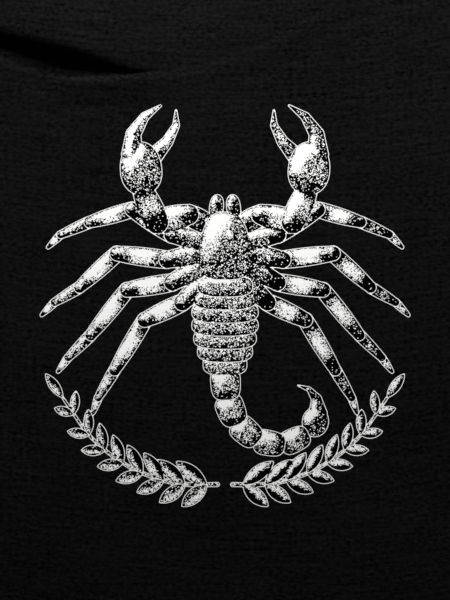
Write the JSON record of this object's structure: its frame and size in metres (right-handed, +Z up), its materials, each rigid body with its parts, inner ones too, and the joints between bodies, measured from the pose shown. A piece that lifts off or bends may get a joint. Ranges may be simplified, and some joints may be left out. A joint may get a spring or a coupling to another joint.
{
  "type": "printed t-shirt",
  "caption": "Black short-sleeved crew-neck T-shirt laid flat face up, with a white chest print of a scorpion and a soft swag fold across the upper chest.",
  "frame": {"origin": "on the surface that the shirt lies on, under the middle of its outer box", "axes": "+Z up, away from the surface it lies on; +Y from the hem towards the collar; +X to the right of someone who looks at the print the right way up"},
  "size_m": [0.868, 0.7505, 0.0175],
  "materials": {
    "jersey": "matt black cotton jersey",
    "rib": "matt black cotton rib knit",
    "tape": "matt black twill tape"
  },
  "bodies": {
    "root": {"front_panel": "jersey", "back_panel": "jersey", "sleeve_left": "jersey", "sleeve_right": "jersey", "collar_rib": "rib", "neck_tape": "tape"}
  },
  "joints": []
}
